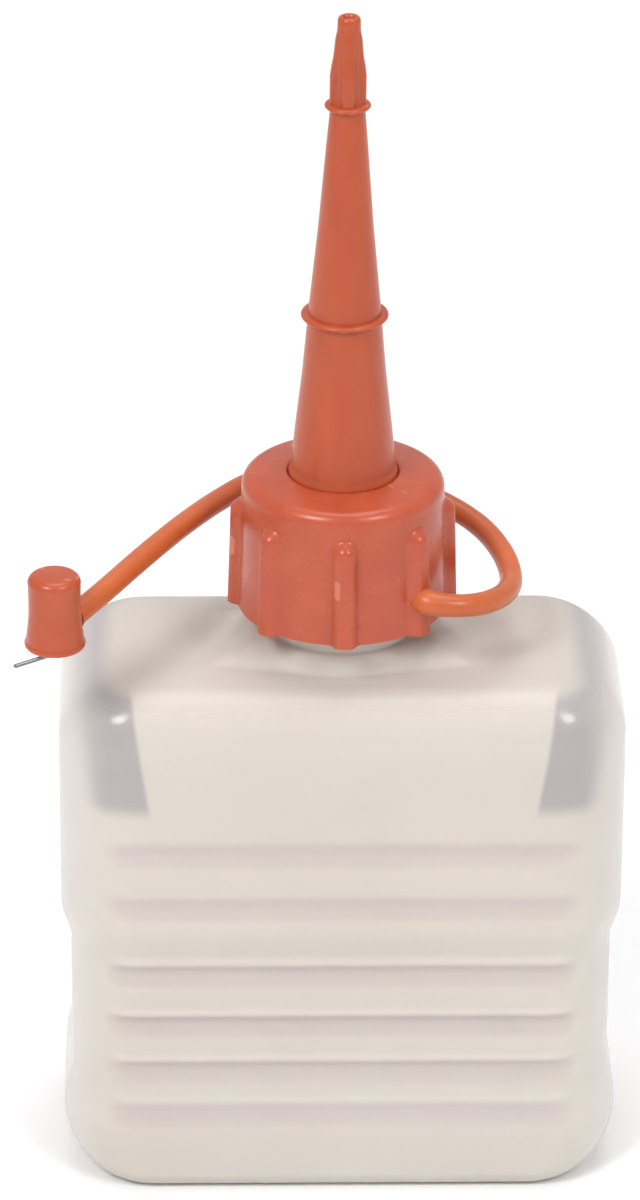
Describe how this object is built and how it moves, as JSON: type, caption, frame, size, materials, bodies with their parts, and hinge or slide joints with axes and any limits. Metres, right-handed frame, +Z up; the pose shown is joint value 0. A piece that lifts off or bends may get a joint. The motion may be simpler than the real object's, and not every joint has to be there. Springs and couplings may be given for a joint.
{
  "type": "glue applicator bottle",
  "caption": "Flat squeeze bottle for glue with a ribbed screw collar, a long fine conical nozzle and a tip cap tethered by a springy strand.",
  "frame": {"origin": "centre of the bottle's base, on the surface it stands on", "axes": "+Z up along the neck and nozzle, -Y the front face, +X the bottle's right"},
  "size_m": [0.0637, 0.0383, 0.1285],
  "materials": {
    "bottle": "milky translucent blown polyethylene, soft sheen",
    "screw_collar": "moulded orange polyethylene, satin",
    "nozzle": "moulded orange polyethylene, satin",
    "strand": "moulded orange polyethylene, satin",
    "tip_cap": "moulded orange polyethylene, satin",
    "sealing_washer": "soft white foam",
    "clearing_pin": "drawn steel wire"
  },
  "bodies": {
    "bottle": {"bottle": "bottle"},
    "nozzle": {"nozzle": "nozzle", "sealing_washer": "sealing_washer"},
    "collar": {"screw_collar": "screw_collar", "strand_1": "strand"},
    "strand_2": {"strand_2": "strand"},
    "strand_3": {"strand_3": "strand"},
    "strand_4": {"strand_4": "strand"},
    "strand_5": {"strand_5": "strand"},
    "strand_6": {"strand_6": "strand"},
    "strand_7": {"strand_7": "strand"},
    "tip_cap": {"tip_cap": "tip_cap", "clearing_pin": "clearing_pin"}
  },
  "joints": [
    {"name": "collar_lift", "type": "slide", "parent": "bottle", "child": "nozzle", "axis": [0, 0, 1], "range_m": [0, 0.00476]},
    {"name": "collar_turn", "type": "hinge", "parent": "nozzle", "child": "collar", "pos_m": [0, 0, 0.07], "axis": [0, 0, 1], "range_deg": [0, 540]},
    {"name": "strand_flex_1", "type": "hinge", "parent": "collar", "child": "strand_2", "pos_m": [0.0148, -0.007, 0.0666], "axis": [0.9976, -0.0553, 0.0427], "range_deg": [0, 69.1], "stiffness_Nm_per_rad": 0.02},
    {"name": "strand_flex_2", "type": "hinge", "parent": "strand_2", "child": "strand_3", "pos_m": [0.017, 0.005, 0.0664], "axis": [0.0457, 0.6627, -0.7475], "range_deg": [0, 47.2], "stiffness_Nm_per_rad": 0.02},
    {"name": "strand_flex_3", "type": "hinge", "parent": "strand_3", "child": "strand_4", "pos_m": [0.0066, 0.0158, 0.0692], "axis": [-0.5381, 0.2752, -0.7967], "range_deg": [0, 64.03], "stiffness_Nm_per_rad": 0.02},
    {"name": "strand_flex_4", "type": "hinge", "parent": "strand_4", "child": "strand_5", "pos_m": [-0.0094, 0.0128, 0.0709], "axis": [-0.2946, -0.1096, -0.9493], "range_deg": [0, 49.83], "stiffness_Nm_per_rad": 0.02},
    {"name": "strand_flex_5", "type": "hinge", "parent": "strand_5", "child": "strand_6", "pos_m": [-0.019, -0.0008, 0.0705], "axis": [0.8363, -0.4707, -0.2812], "range_deg": [0, 24.97], "stiffness_Nm_per_rad": 0.02},
    {"name": "strand_flex_6", "type": "hinge", "parent": "strand_6", "child": "strand_7", "pos_m": [-0.0247, -0.0102, 0.0696], "axis": [0.8611, -0.4996, 0.0943], "range_deg": [0, 63.61], "stiffness_Nm_per_rad": 0.02},
    {"name": "tip_cap_press", "type": "slide", "parent": "strand_7", "child": "tip_cap", "axis": [0, 0, -1], "range_m": [0, 0.0088], "stiffness_N_per_m": 20, "deforming": ["clearing_pin"]}
  ],
  "couplings": [
    {"joint": "collar_turn", "follows": "collar_lift", "rad_per_m": 1979},
    {"joint": "strand_flex_2", "follows": "strand_flex_1", "ratio": 0.68276},
    {"joint": "strand_flex_3", "follows": "strand_flex_1", "ratio": 0.92627},
    {"joint": "strand_flex_4", "follows": "strand_flex_1", "ratio": 0.7209},
    {"joint": "strand_flex_5", "follows": "strand_flex_1", "ratio": 0.36103},
    {"joint": "strand_flex_6", "follows": "strand_flex_1", "ratio": 0.92025}
  ]
}
